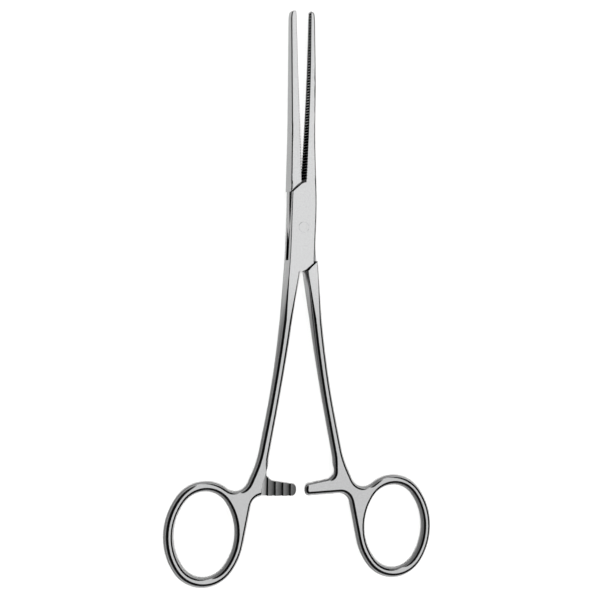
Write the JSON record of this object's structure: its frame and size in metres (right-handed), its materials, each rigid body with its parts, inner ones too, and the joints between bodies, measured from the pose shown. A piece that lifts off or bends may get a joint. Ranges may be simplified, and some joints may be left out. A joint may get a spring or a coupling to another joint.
{
  "type": "hemostat forceps",
  "caption": "Straight ratcheted hemostat forceps with a box lock, long serrated jaws and oval finger rings, for clamping small vessels or tubing.",
  "frame": {"origin": "where the joint's axis meets the back face of the box, the face the instrument lies on", "axes": "+Y from the joint to the jaw tips, +Z along the joint's axis towards the front face, +X to the right seen from the front with the jaws up; the box half's ring is on the -X side"},
  "size_m": [0.0906, 0.1802, 0.005],
  "materials": {
    "box_half_steel": "fine satin polish",
    "tenon_half_steel": "fine satin polish",
    "joint_pin_steel": "fine satin polish, ground flush with the box"
  },
  "bodies": {
    "box_half": {"box_half": "box_half_steel", "joint_pin": "joint_pin_steel"},
    "tenon_half": {"tenon_half": "tenon_half_steel"}
  },
  "joints": [
    {"name": "box_lock_hinge", "type": "hinge", "parent": "box_half", "child": "tenon_half", "pos_m": [0, 0, 0.0025], "axis": [0, 0, 1], "range_deg": [-4, 66]}
  ]
}
